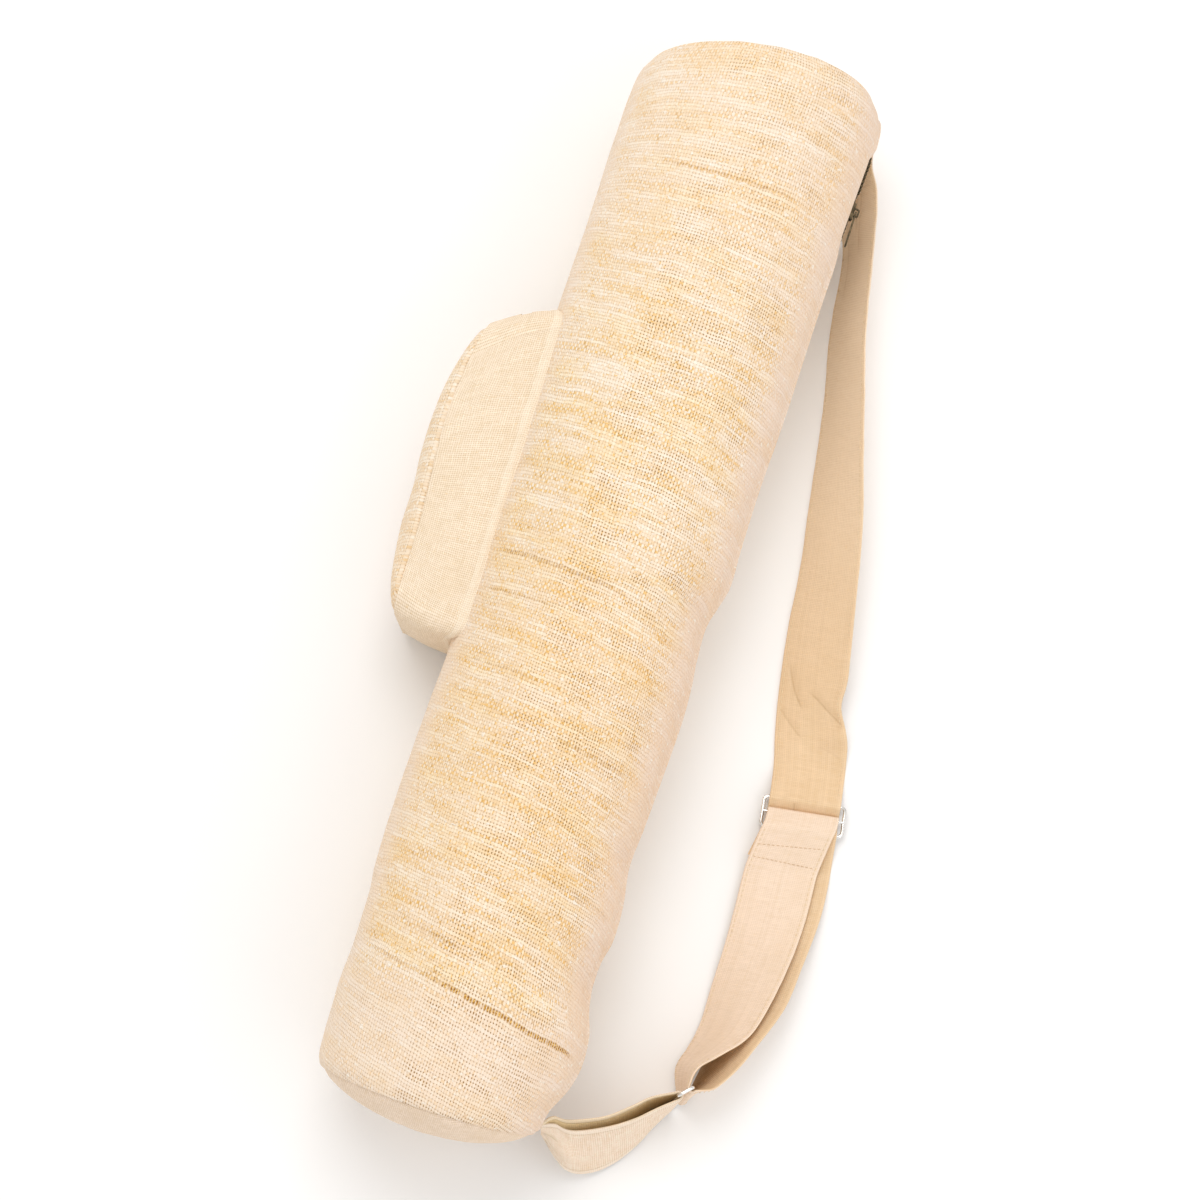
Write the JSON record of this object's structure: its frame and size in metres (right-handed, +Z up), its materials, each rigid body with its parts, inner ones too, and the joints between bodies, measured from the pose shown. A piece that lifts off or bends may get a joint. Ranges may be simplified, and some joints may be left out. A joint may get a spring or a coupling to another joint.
{
  "type": "yoga mat bag",
  "caption": "Long round cloth bag for a rolled exercise mat, with a box pocket, a lengthwise zip and an adjustable shoulder strap on a wire slider and ring.",
  "frame": {"origin": "on the floor under the bag, in the middle of the flat strip it lies on", "axes": "+Y along the bag towards its top end, +X towards the strap, +Z up"},
  "size_m": [0.3455, 0.7467, 0.1564],
  "materials": {
    "slub_cloth": "slubby handwoven natural cloth, cream with golden and brown threads",
    "canvas": "plain light canvas",
    "strap_cloth": "cotton band, tan on the inner face and light canvas on the outer",
    "bright_wire": "bright nickel-plated wire",
    "zip_cloth": "woven zip tape",
    "zip_metal": "aged dark brass"
  },
  "bodies": {
    "bag": {"body_tube": "slub_cloth", "top_end": "canvas", "base_end": "canvas", "pocket_gusset": "canvas", "pocket_panel": "slub_cloth", "strap": "strap_cloth", "strap_tab": "canvas", "strap_slider": "bright_wire", "strap_ring": "bright_wire", "zip_tape": "zip_cloth", "zip_teeth": "zip_metal", "zip_slider": "zip_metal"},
    "pull": {"zip_pull": "zip_metal"}
  },
  "joints": [
    {"name": "zip_pull_swing", "type": "hinge", "parent": "bag", "child": "pull", "pos_m": [0.08607, 0.30054, 0.076], "axis": [0, 0, 1], "range_deg": [0, 170]}
  ]
}
